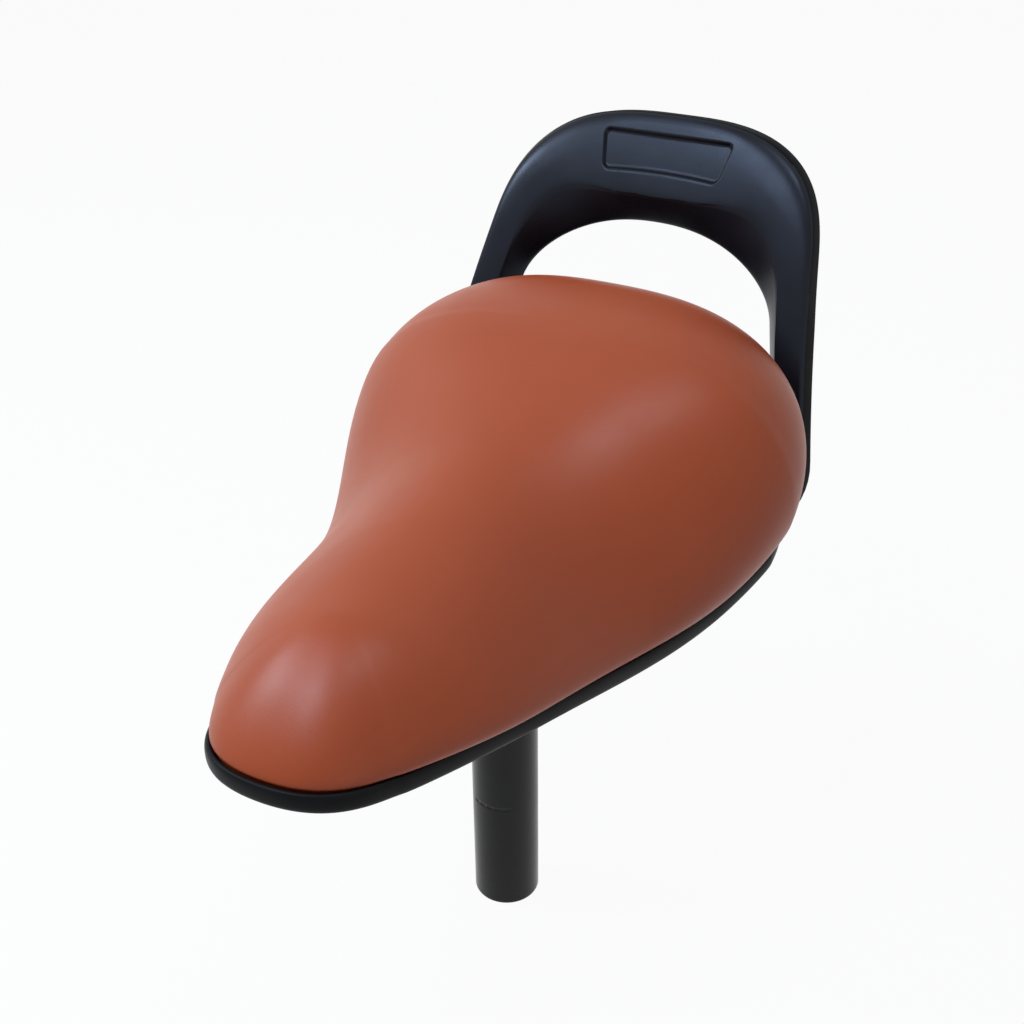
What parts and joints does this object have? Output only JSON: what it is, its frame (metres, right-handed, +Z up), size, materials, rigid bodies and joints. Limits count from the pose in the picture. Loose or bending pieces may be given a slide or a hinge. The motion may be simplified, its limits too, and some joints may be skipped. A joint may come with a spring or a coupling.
{
  "type": "bicycle saddle",
  "caption": "Child's bicycle saddle with a padded leatherette cushion, a moulded base, a rear grab handle with a hand gap and a short round seat post.",
  "frame": {"origin": "centre of the seat post's lower end", "axes": "+Z up along the seat post's axis, the nose points to -Y and the handle stands at +Y, +X to one side"},
  "size_m": [0.1758, 0.3021, 0.2736],
  "materials": {
    "leatherette": "smooth satin",
    "foam": "matte",
    "board": "raw plywood",
    "base_plastic": "satin",
    "handle_plastic": "satin gloss",
    "post_coat": "gloss powder coat",
    "zinc_steel": "bright zinc plate",
    "black_screw": "black oxide"
  },
  "bodies": {
    "root": {"cover": "leatherette", "foam_pad": "foam", "support_board": "board", "base_pan": "base_plastic", "rear_handle": "handle_plastic", "mounting_plate": "post_coat", "seat_post": "post_coat", "plate_bolts": "zinc_steel", "spring_washers": "zinc_steel", "flat_washers": "zinc_steel", "tee_nuts": "zinc_steel", "pan_screws": "black_screw", "handle_screws": "black_screw", "handle_washers": "zinc_steel"}
  },
  "joints": []
}
